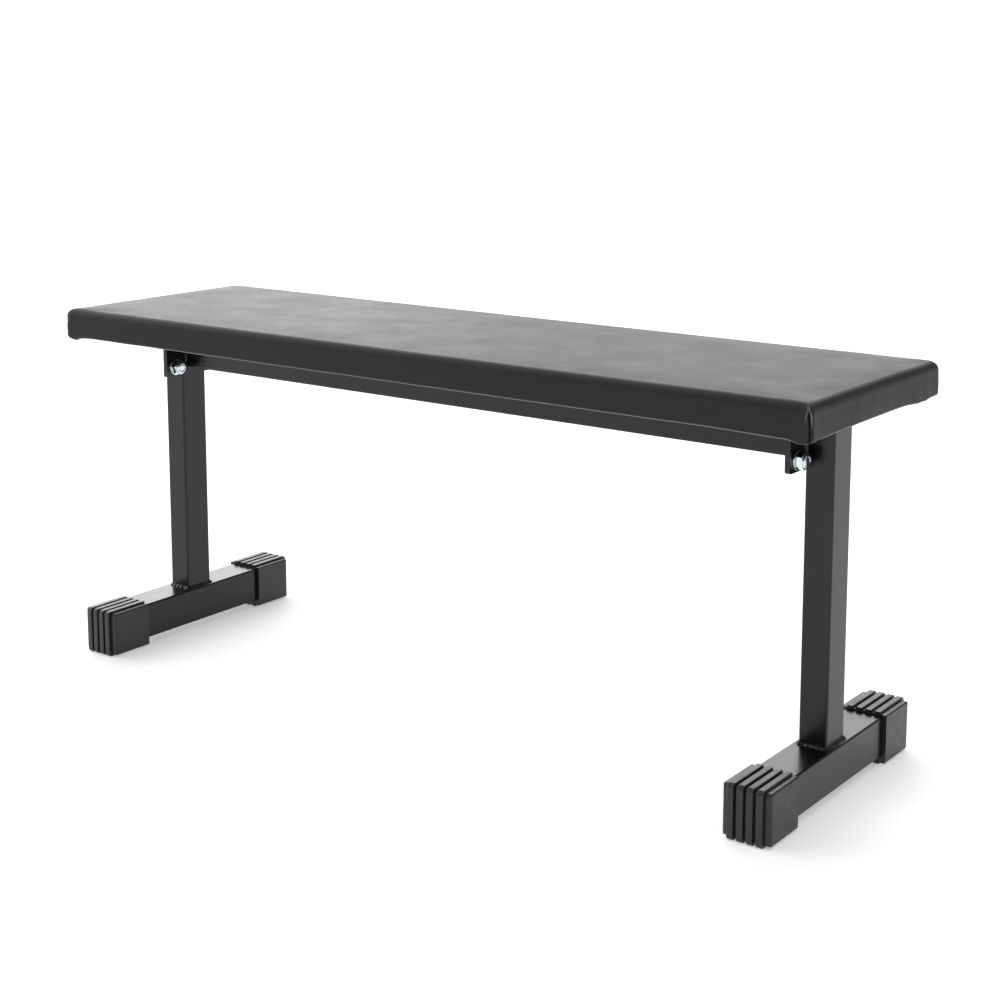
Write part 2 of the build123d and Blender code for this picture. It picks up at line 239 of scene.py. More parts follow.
def zinc_material():
    """Bright zinc plate with a faint blue passivation and fine turning marks."""
    s = Shader("zinc", Metallic=1.0)
    s.colour(s.mix(s.noise(260, 3), (0.52, 0.60, 0.62), (0.74, 0.77, 0.77)))
    s.roughness(s.spread(s.noise(600, 4), 0.12, 0.24))
    s.bump((s.noise(2600, 2, 0.5, (0.2, 1, 1)), 0.000008),)
    return s.material


def plywood_material():
    """Black-stained plywood face: long grain along the board with darker growth bands."""
    s = Shader("plywood", Specular_IOR_Level=0.25)
    warp = s.noise(6, 2, 0.5, (0.6, 2.4, 1))
    bands = s.noise(1.0, 4, 0.6, (7, 160, 160))
    share = s.math("ADD", s.math("MULTIPLY", warp, 0.5), s.math("MULTIPLY", bands, 0.5))
    face = s.mix(s.spread(share, 0, 1, 0.35, 0.65), (0.012, 0.011, 0.010), (0.032, 0.029, 0.026))
    fibres = s.noise(1.0, 3, 0.7, (40, 1400, 1400))
    s.colour(s.mix(s.spread(fibres, 0, 0.35), face, (0.006, 0.0055, 0.005)))
    s.roughness(s.spread(fibres, 0.62, 0.80))
    s.bump((fibres, 0.0001), (bands, 0.0002))
    return s.material


def foam_material():
    """Pale open-cell foam."""
    s = Shader("foam", Roughness=0.95)
    s.colour(s.mix(s.noise(40, 4), (0.55, 0.53, 0.45), (0.68, 0.66, 0.58)))
    s.bump((s.cells(900), 0.0004),)
    return s.material


def wire_material():
    """Galvanised staple wire."""
    s = Shader("staple_steel", Metallic=1.0)
    s.colour(s.mix(s.noise(500, 3), (0.55, 0.56, 0.57), (0.75, 0.76, 0.76)))
    s.roughness(s.spread(s.noise(900, 3), 0.28, 0.45))
    s.bump((s.noise(2500, 2), 0.00001),)
    return s.material


MATERIALS = {
    "vinyl": vinyl_material(),
    "frame_paint": paint_material(),
    "cap_rubber": rubber_material(),
    "zinc": zinc_material(),
    "plywood": plywood_material(),
    "foam": foam_material(),
    "staple_steel": wire_material(),
}

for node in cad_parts.values():
    for place in node.material_slots:
        place.material = MATERIALS[place.material.name]


# ---------------------------------------------------------------- upholstered pad
PAD_LOW, PAD_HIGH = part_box("pad_cover")
BOARD_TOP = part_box("pad_board")[1].z
PAD_CORNER = 5 * MM          # plan radius of the pad's corners
WORN_CORNER = 13.5 * MM      # the one at +X and +Y has slumped rounder, but stays outside the board
PAD_EDGE = 10 * MM           # radius of its soft top edge
HEM_EDGE = 2.4 * MM          # radius where the cover turns under the board
HEM_WIDTH = 32 * MM          # how far the cover reaches in under the board
HEM_SUNK = 6 * MM            # how far the closed body goes on, out of sight inside the board
TOP_START = 0.9 * MM         # the pad starts this much lower than its full height, and swells
EDGE_STEPS = 8               # grid lines round the soft edge
CORNER_STEPS = 12            # grid lines round half a corner
FOLD_ZONE = 17 * MM          # how far in from the sides the grid is fine enough for the corner folds
FOLD_STEP = 0.6 * MM         # grid spacing there
FINE_STEP = 1.6 * MM         # grid spacing on the rest of the hem
COARSE_STEP = 8 * MM         # grid spacing elsewhere
HEIGHT_STEP = 1.3 * MM
LEAST_STEP = 0.15 * MM
SWELL_CAP = 1.5 * MM         # most that a point may move in the simulation
SIDE_SWELL = 0.25            # share of the sideways swelling that the tight cover allows
SWELL_CLEAR = 9 * MM         # height above the board over which the cover comes free of it
CLOTH_VOXEL = 6 * MM
CLOTH_PRESSURE = 4.0
CLOTH_FRAMES = 20
NEIGHBOURS = 18              # simulated points that one grid point follows

# Folded corners: the end's cover ends in a rolled lip at the corner, over a gap to the long side's cover.
GAP_PLACE = 1.15 * MM        # middle of the gap, from the corner towards the long side
GAP_LEAN = 1.4 * MM          # it lies this much further from the corner where it is wide
GAP_HALF = 1.1 * MM          # half its width at the hem
GAP_OPEN = 1.2 * MM          # how much wider it opens towards the top
GAP_DEPTH = 3.2 * MM
GAP_WIDENS = 13 * MM         # heights above the hem where it starts to widen, is widest and ends
GAP_WIDEST = 22 * MM
GAP_TOP = 28 * MM
LIP_HEIGHT = 1.1 * MM        # rolled edge of the end's cover
LIP_ROUND = 0.7 * MM
LIP_REACH = 9 * MM
SHOULDER_HEIGHT = 0.6 * MM   # edge of the long side's cover
SHOULDER_ROUND = 0.8 * MM
SHOULDER_REACH = 7 * MM
HIGHLIGHT_LINE = 0.9 * MM      # width of the painted highlight line along a fold's lip and shoulder
HIGHLIGHT_FROM = 8 * MM        # height above the hem where that line begins to show
HEM_HIGHLIGHT = 0.6 * MM          # and of the painted highlight along the hem's edge over the board
EAR_HANG = 3.5 * MM          # spare cover folded away under each corner
EAR_PLACE = (12 * MM, 4 * MM)    # middle of that bundle, in from the end and in from the long side
EAR_WIDTH = (9 * MM, 5 * MM)
# Places as shares of half the length and half the width, then hang and width in millimetres.
HEM_DIPS = (
    (0.94, -1.0, 1.2, 45), (1.0, -0.86, 1.2, 40), (1.0, 0.68, 2.6, 30), (-0.955, -1.0, 1.0, 12),
    (-1.0, 0.5, 1.6, 36), (0.9, 1.0, 1.2, 50), (-1.0, -0.4, 1.8, 30),
)
END_TUCKS = ((84, 4, 0.7), (97, 3.5, 0.9), (111, 4, 0.8), (-60, 6, 0.4))   # y, width, height
PLEATS = ((2, 2.2, 1.0), (-9, 3, 0.6), (13, 3.5, 0.5))                     # off the diagonal, width, height
RIPPLE = 0.35 * MM
RIPPLE_LENGTH = 16 * MM
RIPPLE_STRETCH = (1, 1, 0.25)        # ripples run up and down the sides
RIPPLE_LEAST = 0.25                  # their share on the long sides, against 1 on the ends
TOP_WANDER = 0.18 * MM
TOP_LENGTH = 85 * MM
HEM_UNEVEN = 0.25 * MM
HEM_LENGTH = 30 * MM
# Each zone is where an effect begins to fade in or out and where it has done so.
SIDE_ZONE = (4 * MM, 12 * MM)        # in from the sides, for folds and ripples
CORNER_ZONE = (40 * MM, 55 * MM)     # from a corner, for its folds
PLEAT_ZONE = (34 * MM, 46 * MM)      # from a corner, for the pleats underneath
HEM_HIGHLIGHT_ZONE = (14 * MM, 28 * MM)   # from a corner, for the hem's painted highlight
HEM_HIGHLIGHT_DEPTH = 3 * MM              # how far in from the sides that line reaches
END_DEPTH = 3 * MM                   # how far in from the ends the end faces' own folds reach
UNDER_ZONE = (1.0 * MM, 1.5 * MM)    # heights above the hem, for the pleats
RIPPLE_ZONE = (2 * MM, 6 * MM)       # heights above the hem, for the ripples
TUCK_ZONE = (0.2, 0.9)               # shares of the pad's height, for the tucks
TOP_DEPTH = 4 * MM                   # below the top, for its slow wander
LOW_ZONE = (HEM_EDGE, 9 * MM)        # heights above the hem, for its hang
HANG_ZONE = (5 * MM, 14 * MM)        # in from the sides, for its hang

half_length, half_width = PAD_HIGH.x, PAD_HIGH.y
pad_top = PAD_HIGH.z - TOP_START


def pad_lines(half):
    """Grid lines over one direction of the pad, close together at its edges and folds."""
    edge = PAD_EDGE * (1 - np.cos(np.linspace(0, math.pi / 2, EDGE_STEPS + 1)))
    corner = PAD_CORNER * (1 - np.tan(np.linspace(0, math.pi / 4, CORNER_STEPS + 1)))
    folds = np.arange(PAD_CORNER, FOLD_ZONE, FOLD_STEP)
    hem = np.linspace(FOLD_ZONE, HEM_WIDTH, round((HEM_WIDTH - FOLD_ZONE) / FINE_STEP) + 1)
    insets = [HEM_WIDTH]
    for inset in sorted(np.concatenate([edge, corner, folds, hem]), reverse=True):
        if insets[-1] - inset > LEAST_STEP:
            insets.append(inset)
    insets = np.array([0.0] + insets[::-1]) if insets[-1] > LEAST_STEP else np.array([0.0] + insets[-2::-1])
    inner = half - HEM_WIDTH
    middle = np.linspace(-inner, inner, round(2 * inner / COARSE_STEP) + 1)[1:-1]
    return np.concatenate([-half + insets, middle, half - insets[::-1]])


def rounded_plan(x, y):
    """Square-cornered grid points moved onto the pad's rounded plan."""
    corner = np.where((x > 0) & (y > 0), WORN_CORNER, PAD_CORNER)
    over_x = np.maximum(np.abs(x) - (half_length - corner), 0)
    over_y = np.maximum(np.abs(y) - (half_width - corner), 0)
    reach = np.maximum(over_x, over_y)
    distance = np.hypot(over_x, over_y)
    pull = np.where(distance > 0, reach / np.maximum(distance, 1e-12), 1.0)
    return x - np.sign(x) * over_x * (1 - pull), y - np.sign(y) * over_y * (1 - pull)


def edge_drop(inset, radius):
    """How far a rounded edge falls away from its face at this distance in from the side."""
    inside = np.clip(radius - inset, 0, radius)
    return radius - np.sqrt(radius**2 - inside**2)


def pad_grid():
    """Points and faces of the closed pad body, before it swells and creases."""
    xs, ys = pad_lines(half_length), pad_lines(half_width)
    low, high = PAD_LOW.z + HEM_EDGE, pad_top - PAD_EDGE
    zs = np.linspace(low, high, round((high - low) / HEIGHT_STEP) + 1)
    nx, ny, nz = len(xs), len(ys), len(zs)
    index = -np.ones((nx, ny, nz), int)
    x, y = np.meshgrid(xs, ys, indexing="ij")
    inset = np.minimum(half_length - np.abs(x), half_width - np.abs(y))
    px, py = rounded_plan(x, y)
    points, faces = [], []

    def add(i, j, k, z):
        if index[i, j, k] < 0:
            index[i, j, k] = len(points)
            points.append((px[i, j], py[i, j], z))
        return index[i, j, k]

    for i in range(nx):
        for j in range(ny):
            add(i, j, nz - 1, pad_top - edge_drop(inset[i, j], PAD_EDGE))
            if inset[i, j] < HEM_WIDTH + 1e-7:
                add(i, j, 0, PAD_LOW.z + edge_drop(inset[i, j], HEM_EDGE))
            if inset[i, j] < 1e-9:
                for k in range(1, nz - 1):
                    add(i, j, k, zs[k])

    def quad(a, b, c, d):
        faces.append(tuple(int(index[n]) for n in (a, b, c, d)))

    for i in range(nx - 1):
        for j in range(ny - 1):
            quad((i, j, nz - 1), (i + 1, j, nz - 1), (i + 1, j + 1, nz - 1), (i, j + 1, nz - 1))
            corners = [(i, j, 0), (i, j + 1, 0), (i + 1, j + 1, 0), (i + 1, j, 0)]
            if all(index[c] >= 0 for c in corners):
                quad(*corners)
    for k in range(nz - 1):
        for i in range(nx - 1):
            quad((i, 0, k), (i + 1, 0, k), (i + 1, 0, k + 1), (i, 0, k + 1))
            quad((i + 1, ny - 1, k), (i, ny - 1, k), (i, ny - 1, k + 1), (i + 1, ny - 1, k + 1))
        for j in range(ny - 1):
            quad((0, j + 1, k), (0, j, k), (0, j, k + 1), (0, j + 1, k + 1))
            quad((nx - 1, j, k), (nx - 1, j + 1, k), (nx - 1, j + 1, k + 1), (nx - 1, j, k + 1))

    # The hem's inner edge goes up into the board, where one flat face closes the body.
    i0 = int(np.argmin(np.abs(xs + half_length - HEM_WIDTH)))
    j0 = int(np.argmin(np.abs(ys + half_width - HEM_WIDTH)))
    i1, j1 = nx - 1 - i0, ny - 1 - j0
    loop = [(i, j0) for i in range(i0, i1)] + [(i1, j) for j in range(j0, j1)]
    loop += [(i, j1) for i in range(i1, i0, -1)] + [(i0, j) for j in range(j1, j0, -1)]
    rim = [int(index[i, j, 0]) for i, j in loop]
    sunk = []
    for n in rim:
        sunk.append(len(points))
        points.append((points[n][0], points[n][1], PAD_LOW.z + HEM_SUNK))
    for n in range(len(rim)):
        after = (n + 1) % len(rim)
        faces.append((rim[n], rim[after], sunk[after], sunk[n]))
    faces.append(tuple(sunk[::-1]))
    return np.array(points), faces


def swelling(points):
    """How far the cover moves at each point as the foam fills it, from a cloth simulation."""
    body = bmesh.new()
    corners = bmesh.ops.create_cube(body, size=1.0)["verts"]
    size = Vector((2 * half_length, 2 * half_width, pad_top - PAD_LOW.z))
    bmesh.ops.scale(body, vec=size, verts=corners)
    bmesh.ops.translate(body, vec=(0, 0, (pad_top + PAD_LOW.z) / 2), verts=corners)
    upright = [e for e in body.edges if abs(e.verts[0].co.z - e.verts[1].co.z) > MM]
    bmesh.ops.bevel(body, geom=upright, offset=PAD_CORNER, segments=4, affect="EDGES", profile=0.5)
    mesh = bpy.data.meshes.new("pad_swell")
    body.to_mesh(mesh)
    body.free()
    cloth_pad = bpy.data.objects.new("pad_swell", mesh)
    bpy.context.scene.collection.objects.link(cloth_pad)
    remesh = cloth_pad.modifiers.new("remesh", "REMESH")
    remesh.mode = "VOXEL"
    remesh.voxel_size = CLOTH_VOXEL
    graph = bpy.context.evaluated_depsgraph_get()
    cloth_pad.data = bpy.data.meshes.new_from_object(cloth_pad.evaluated_get(graph))
    cloth_pad.modifiers.clear()
    held = cloth_pad.vertex_groups.new(name="held")
    held.add([v.index for v in cloth_pad.data.vertices if v.co.z < BOARD_TOP], 1.0, "REPLACE")
    cloth = cloth_pad.modifiers.new("cloth", "CLOTH")
    cloth.settings.vertex_group_mass = "held"
    cloth.settings.use_pressure = True
    cloth.settings.uniform_pressure_force = CLOTH_PRESSURE
    cloth.settings.effector_weights.gravity = 0
    start = np.array([v.co for v in cloth_pad.data.vertices])
    scene = bpy.context.scene
    for step in range(1, CLOTH_FRAMES + 1):
        scene.frame_set(step)
    done = cloth_pad.evaluated_get(bpy.context.evaluated_depsgraph_get()).to_mesh()
    moved = np.array([v.co for v in done.vertices]) - start
    scene.frame_set(1)
    bpy.data.objects.remove(cloth_pad)
    length = np.linalg.norm(moved, axis=1, keepdims=True)
    moved *= SWELL_CAP * np.tanh(length / SWELL_CAP) / np.maximum(length, 1e-9)
    tree = KDTree(len(start))
    for n, place in enumerate(start):
        tree.insert(place, n)
    tree.balance()
    result = np.zeros_like(points)
    for n, point in enumerate(points):
        near = tree.find_n(point, NEIGHBOURS)
        weights = np.exp(-np.array([distance / CLOTH_VOXEL for _, _, distance in near]) ** 2)
        result[n] = (moved[[i for _, i, _ in near]] * weights[:, None]).sum(0) / weights.sum()
    result[:, :2] *= SIDE_SWELL
    return result * smooth_step(points[:, 2:], BOARD_TOP, BOARD_TOP + SWELL_CLEAR)


def corner_folds(from_end, from_side, height):
    """Outward move and painted highlight at the four corners, by distance in from the end and from the long
    side.
    """
    wide = smooth_step(height, GAP_WIDENS, GAP_WIDEST)
    closing = np.sqrt(np.clip((GAP_TOP - height) / (GAP_TOP - GAP_WIDEST), 0, 1))
    half_gap = (GAP_HALF + GAP_OPEN * wide) * closing
    off = from_side - from_end + GAP_PLACE + GAP_LEAN * wide
    inside = np.clip(np.abs(off) / np.maximum(half_gap, 1e-9), 0, 1)
    gap = -GAP_DEPTH * np.sqrt(1 - inside**2)
    past, before = np.maximum(off - half_gap, 0), np.maximum(-off - half_gap, 0)
    lip = LIP_HEIGHT * (1 - np.exp(-past / LIP_ROUND)) * np.exp(-past / LIP_REACH)
    shoulder = SHOULDER_HEIGHT * (1 - np.exp(-before / SHOULDER_ROUND)) * np.exp(-before / SHOULDER_REACH)
    below_top = fade(height, GAP_TOP, pad_top - PAD_LOW.z)
    # Painted highlight lines along the lip's edge and, where the gap is wide, along the shoulder's edge.
    pale = bell(past, HIGHLIGHT_LINE, HIGHLIGHT_LINE) * (past > 0)
    pale += 0.5 * wide * bell(before, HIGHLIGHT_LINE, HIGHLIGHT_LINE) * (before > 0)
    pale *= smooth_step(height, HIGHLIGHT_FROM, GAP_WIDEST)
    clear = smooth_step(height, -HEM_EDGE / 2, HEM_EDGE)
    return (gap + lip + shoulder) * below_top * clear, pale * below_top


def hem_dips(x, y):
    """How far the gathered hem hangs below the board along the pad's edge."""
    depth = np.zeros_like(x)
    for share_x, share_y, hang, width in HEM_DIPS:
        distance = np.hypot(x - share_x * half_length, y - share_y * half_width)
        depth = np.maximum(depth, hang * MM * bell(distance, 0, width * MM))
    return depth


def wander(points, wavelength, seed):
    """Smooth wander between -1 and 1, the same in each run."""
    shift = Vector((seed, 2 * seed, -seed))
    return np.array([noise(Vector(p) / wavelength + shift) for p in points])


def crease(piece):
    """Corner folds, hem and the cover's slight ripples, on the swollen pad, with painted highlight lines
    along the folds and the hem's lower edge.
    """
    mesh = piece.data
    count = len(mesh.vertices)
    points, normals = np.zeros(3 * count), np.zeros(3 * count)
    mesh.vertices.foreach_get("co", points)
    mesh.vertices.foreach_get("normal", normals)
    points, normals = points.reshape(-1, 3), normals.reshape(-1, 3)
    x, y, z = points.T
    height = z - PAD_LOW.z
    height_share = np.clip(height / (pad_top - PAD_LOW.z), 0, 1)
    from_end, from_side = half_length - np.abs(x), half_width - np.abs(y)
    inset, from_corner = np.minimum(from_end, from_side), np.maximum(from_end, from_side)
    hidden = (z > PAD_LOW.z + MM) & (inset > HEM_WIDTH - MM) & (z < BOARD_TOP)
    side = fade(inset, *SIDE_ZONE)
    near_corner = fade(from_corner, *CORNER_ZONE)
    on_end = fade(from_end, 0, END_DEPTH)

    # The rounder corner has no gap, because the board lies close behind its cover.
    folds, pale = corner_folds(from_end, from_side, height)
    folds = np.where((x > 0) & (y > 0), np.maximum(folds, 0), folds)
    out = folds * side * near_corner
    # Painted highlight along the hem's lower edge; with the folds' painted highlight it is kept on the
    # points as the 'stretch' layer.
    hem_highlight = bell(height, HEM_HIGHLIGHT, HEM_HIGHLIGHT) * (inset < HEM_HIGHLIGHT_DEPTH)
    hem_highlight *= smooth_step(from_corner, *HEM_HIGHLIGHT_ZONE)
    pale = np.maximum(pale * near_corner * side, hem_highlight)
    stretch = mesh.attributes.new("stretch", "FLOAT", "POINT")
    stretch.data.foreach_set("value", np.clip(pale, 0, 1))

    ripples = wander(points * RIPPLE_STRETCH, RIPPLE_LENGTH, 3.0) * (1 - height_share)
    ripples *= RIPPLE_LEAST + (1 - RIPPLE_LEAST) * on_end
    out += RIPPLE * ripples * side * smooth_step(height, *RIPPLE_ZONE)
    for middle, width, rise in END_TUCKS:
        tuck = rise * MM * bell(y, middle * MM, width * MM) * on_end * (x > 0)
        out += tuck * fade(height_share, *TUCK_ZONE) * side
    out += TOP_WANDER * wander(points, TOP_LENGTH, 7.0) * smooth_step(z, pad_top - TOP_DEPTH, pad_top)
    moved = points + normals * out[:, None]

    # Gathered hem: it hangs a little below the board's edge, and is pleated at the corners underneath.
    low_part = fade(height, *LOW_ZONE)
    uneven = HEM_UNEVEN * (1 + wander(points, HEM_LENGTH, 11.0))
    moved[:, 2] -= (hem_dips(x, y) + uneven) * low_part * fade(inset, *HANG_ZONE)
    ears = bell(from_end, EAR_PLACE[0], EAR_WIDTH[0]) * bell(from_side, EAR_PLACE[1], EAR_WIDTH[1])
    moved[:, 2] -= EAR_HANG * ears * low_part
    across = from_end - from_side
    pleats = sum(rise * MM * bell(across, middle * MM, width * MM) for middle, width, rise in PLEATS)
    moved[:, 2] -= pleats * fade(height, *UNDER_ZONE) * fade(from_corner, *PLEAT_ZONE)
    moved[hidden] = points[hidden]
    mesh.vertices.foreach_set("co", moved.ravel())
    mesh.update()


def pad_piece():
    """The cushion: cover and foam as one closed body."""
    points, faces = pad_grid()
    piece = make_piece("pad_cushion", points, faces, MATERIALS["vinyl"])
    points = points + swelling(points)
    piece.data.vertices.foreach_set("co", points.ravel())
    piece.data.update()
    crease(piece)
    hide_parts("pad_cover", "pad_foam")
    return piece


pad_piece()


# ---------------------------------------------------------------- welds
WELD_PITCH = 4.6 * MM        # one ripple of the bead to the next
WELD_STEP = 0.7 * MM
WELD_ARC = 8                 # faces across the bead
WELD_SHARP = math.radians(70)
# Shares of the bead's leg: how deep its root lies, its even part, its ripples and its lumps.
WELD_SINK = 0.15
WELD_FLAT = 0.74
WELD_BASE = 0.08
WELD_RIPPLE = 0.16
WELD_LUMP = 0.40
FINE_LUMP = 0.6              # finer lumps, as a share of the coarse ones
LUMP_LENGTH = 2.2 * WELD_PITCH
FINE_LENGTH = 0.7 * WELD_PITCH
RIPPLE_CURVE = 0.35          # how far each ripple bows along the bead, as a share of the pitch
TUBE_CORNER = 2.5 * MM
PLATE_WELD_SINK = 0.6 * MM   # the plate's beads start this far in from the sides of the post


def bead(path, leg, seed, closed=False):
    """Points and faces of one weld bead. Each path entry is its root and its directions up both faces."""
    points, faces = [], []
    ring = WELD_ARC + 2
    length = 0.0
    for n, (root, first, second) in enumerate(path):
        if n:
            length += (root - path[n - 1][0]).length
        lump = noise(Vector((length / LUMP_LENGTH, seed, 0)))
        lump += FINE_LUMP * noise(Vector((length / FINE_LENGTH, seed, 5)))
        points.append(root - WELD_SINK * leg * (first + second))
        for step in range(WELD_ARC + 1):
            turn = math.pi / 2 * step / WELD_ARC
            middle = math.sin(2 * turn)
            phase = length / WELD_PITCH + RIPPLE_CURVE * middle
            ripple = abs(math.sin(math.pi * phase))
            flat = 1 / (math.cos(turn) + math.sin(turn))
            reach = leg * (WELD_FLAT * flat + WELD_BASE + WELD_RIPPLE * ripple * middle + WELD_LUMP * lump)
            points.append(root + reach * (math.cos(turn) * first + math.sin(turn) * second))
    last = len(path) if closed else len(path) - 1
    for n in range(last):
        a, b = n * ring, (n + 1) % len(path) * ring
        for k in range(ring):
            after = (k + 1) % ring
            faces.append((a + k, b + k, b + after, a + after))
    if not closed:
        faces.append(tuple(range(ring)))
        faces.append(tuple(range(len(points) - 1, len(points) - 1 - ring, -1)))
    return points, faces


def outward(piece):
    """Turns every face of a closed mesh outwards."""
    body = bmesh.new()
    body.from_mesh(piece.data)
    bmesh.ops.recalc_face_normals(body, faces=body.faces)
    body.to_mesh(piece.data)
    body.free()


def join_parts(parts):
    """Several (points, faces) as one."""
    points, faces = [], []
    for part_points, part_faces in parts:
        start = len(points)
        points += list(part_points)
        faces += [tuple(n + start for n in face) for face in part_faces]
    return points, faces


def tube_outline(half_x, half_y, corner, step):
    """Points round a tube with rounded corners, each with its outward direction."""
    outline = []
    for n, (sx, sy) in enumerate(((1, 1), (-1, 1), (-1, -1), (1, -1))):
        centre = Vector((sx * (half_x - corner), sy * (half_y - corner)))
        for turn in np.linspace(0, math.pi / 2, 5):
            angle = n * math.pi / 2 + turn
            away = Vector((math.cos(angle), math.sin(angle)))
            outline.append((centre + corner * away, away))
    full = []
    for n, (start, away) in enumerate(outline):
        end, end_away = outline[(n + 1) % len(outline)]
        pieces = max(1, round((end - start).length / step))
        for share in (k / pieces for k in range(pieces)):
            full.append((start.lerp(end, share), away.lerp(end_away, share).normalized()))
    return full


def foot_weld(side):
    """Bead all round the foot of a post."""
    low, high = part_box(f"post_{side}")
    middle = (low + high) / 2
    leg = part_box(f"foot_weld_{side}")[1].z - low.z
    half = (high - low) / 2
    foot = Vector((middle.x, middle.y, low.z))
    path = [
        (foot + Vector((spot.x, spot.y, 0)), Vector((0, 0, 1)), Vector((away.x, away.y, 0)))
        for spot, away in tube_outline(half.x, half.y, TUBE_CORNER, WELD_STEP)
    ]
    points, faces = bead(path, leg, 2.0 + SIDES[side], closed=True)
    paint = MATERIALS["frame_paint"]
    piece = make_piece(f"weld_foot_{side}", points, faces, paint, WELD_SHARP)
    outward(piece)
    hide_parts(f"foot_weld_{side}")


def plate_weld(side):
    """Two upright beads between a post and its plate."""
    sign = SIDES[side]
    low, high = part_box(f"plate_weld_{side}")
    root_x = low.x if sign > 0 else high.x
    half_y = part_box(f"post_{side}")[1].y
    leg = high.y - half_y
    parts = []
    for edge in (-1, 1):
        heights = np.arange(low.z + MM, high.z - MM, WELD_STEP)
        away, out = Vector((0, edge, 0)), Vector((sign, 0, 0))
        path = [(Vector((root_x, edge * (half_y - PLATE_WELD_SINK), z)), out, away) for z in heights]
        parts.append(bead(path, leg, 5.0 + sign + 0.3 * edge))
    points, faces = join_parts(parts)
    paint = MATERIALS["frame_paint"]
    piece = make_piece(f"weld_plate_{side}", points, faces, paint, WELD_SHARP)
    outward(piece)
    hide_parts(f"plate_weld_{side}")


def rail_weld(side):
    """Bead round the sides and the underside of a rail end."""
    sign = SIDES[side]
    rail_low, rail_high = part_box("spine_rail")
    leg = rail_low.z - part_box(f"rail_weld_{side}")[0].z
    middle_z, half_z = (rail_low.z + rail_high.z) / 2, (rail_high.z - rail_low.z) / 2
    start = Vector((sign * rail_high.x, 0, middle_z))
    outline = tube_outline(rail_high.y, half_z, TUBE_CORNER, WELD_STEP)
    first = next(n for n, (spot, _) in enumerate(outline) if spot.x < 0 and spot.y < half_z - TUBE_CORNER)
    outline = [(s, a) for s, a in outline[first:] + outline[:first] if s.y < half_z - TUBE_CORNER]
    path = [
        (start + Vector((0, spot.x, spot.y)), Vector((-sign, 0, 0)), Vector((0, away.x, away.y)))
        for spot, away in outline
    ]
    points, faces = bead(path, leg, 9.0 + sign)
    paint = MATERIALS["frame_paint"]
    piece = make_piece(f"weld_rail_{side}", points, faces, paint, WELD_SHARP)
    outward(piece)
    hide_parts(f"rail_weld_{side}")


for side_name in SIDES:
    foot_weld(side_name)
    plate_weld(side_name)
    rail_weld(side_name)

# ---------------------------------------------------------------- fasteners
TURNS = 48                   # points round a turned or hexagonal part
# Sizes of fasteners are in millimetres; M10 and M8 hold radii, heights and the pitch.
M10 = {"shank": 5.0, "flats": 8.5, "washer": 10.5, "washer_height": 2.0, "pitch": 1.5}
M8 = {"shank": 4.0, "flats": 6.5, "head": 5.3, "washer": 8.0, "washer_height": 1.6, "pitch": 1.25}
NUT_HEIGHT = 7.5             # chamfered hexagon
COLLAR_TOP = 10.0            # round collar on top of it
COLLAR = 7.3
COLLAR_PROFILE = ((-1.1, 0.0), (-0.5, -0.2), (-0.1, -0.7), (0.0, -1.2))   # from its top and from its radius
BUTTON_HEIGHT = 4.5
BUTTON = 9.0
BUTTON_FLAT = 5.0            # flat part of the crown
BUTTON_FOOT = 0.5            # straight part under the dome
BUTTON_STEPS = 9
SOCKET_DEPTH = 3.0
SOCKET = 3.0
RIM_BREAK = 0.3              # bevel round the socket
EDGE_BREAK = 0.2             # bevel under the button head
FRAME_BOLT_LENGTH = 18.0
PAD_BOLT_LENGTH = 16.0
BORE_GAP = 0.1               # between nut and shank
MOUTH_WIDE = 0.4             # widening of the nut's bore at its collar
MOUTH_DEEP = 0.6             # and how deep it goes
WASHER_GAP = 0.5             # between washer and shank
WASHER_SOFT = 0.25           # rounding of a washer's rims
HEAD_COLLAR = 0.4            # height of the round seat under a hexagon head
SEAT_SHARE = 0.95            # its radius as a share of half the flats
THREAD_TURNS = 8
THREAD_START = 0.2           # the thread begins this far past the plain part
LEAST_PLAIN = 0.5            # least length of the plain part
THREAD_DEPTH = 0.55          # share of the pitch
CREST = 0.12                 # flat top of the thread, share of half a pitch
FLANK = 0.76
TIP_DEPTH = 0.7              # how much narrower the tip is, share of the pitch
TIP_SLOPE = 0.9
CHAMFER_FACE = 0.96          # round end face of a hexagon, share of half the flats
CHAMFER_SLOPE = math.tan(math.radians(60))
# Radians that each fastener is turned further than the one before.
BOLT_TURN = 0.7
NUT_TURN = 0.35
PAD_BOLT_TURN = 0.5
FASTENER_SHARP = math.radians(28)


def hexagon(half_flats, limit=1e9):
    """Radius of a hexagon by angle, cut to a cone's radius at that height."""
    return lambda angle: min(half_flats / math.cos(angle % (math.pi / 3) - math.pi / 6), limit)


def turned(stations, places, closed=False):
    """Points and faces of a part turned about its axis, once for each matrix in places.

    A station is (height, radius), with the radius a number or a function of the angle. A closed
    profile joins its last station to its first, which leaves a bore.
    """
    ring_points = []
    for height, radius in stations:
        for n in range(TURNS):
            angle = 2 * math.pi * n / TURNS
            reach = radius(angle) if callable(radius) else radius
            ring_points.append(MM * Vector((reach * math.cos(angle), reach * math.sin(angle), height)))
    ring_faces = []
    rows = len(stations)
    for row in range(rows if closed else rows - 1):
        a, b = row * TURNS, (row + 1) % rows * TURNS
        for n in range(TURNS):
            after = (n + 1) % TURNS
            ring_faces.append((a + n, a + after, b + after, b + n))
    if not closed:
        ring_faces.append(tuple(range(TURNS - 1, -1, -1)))
        ring_faces.append(tuple(range((rows - 1) * TURNS, rows * TURNS)))
    return join_parts([([place @ p for p in ring_points], ring_faces) for place in places])


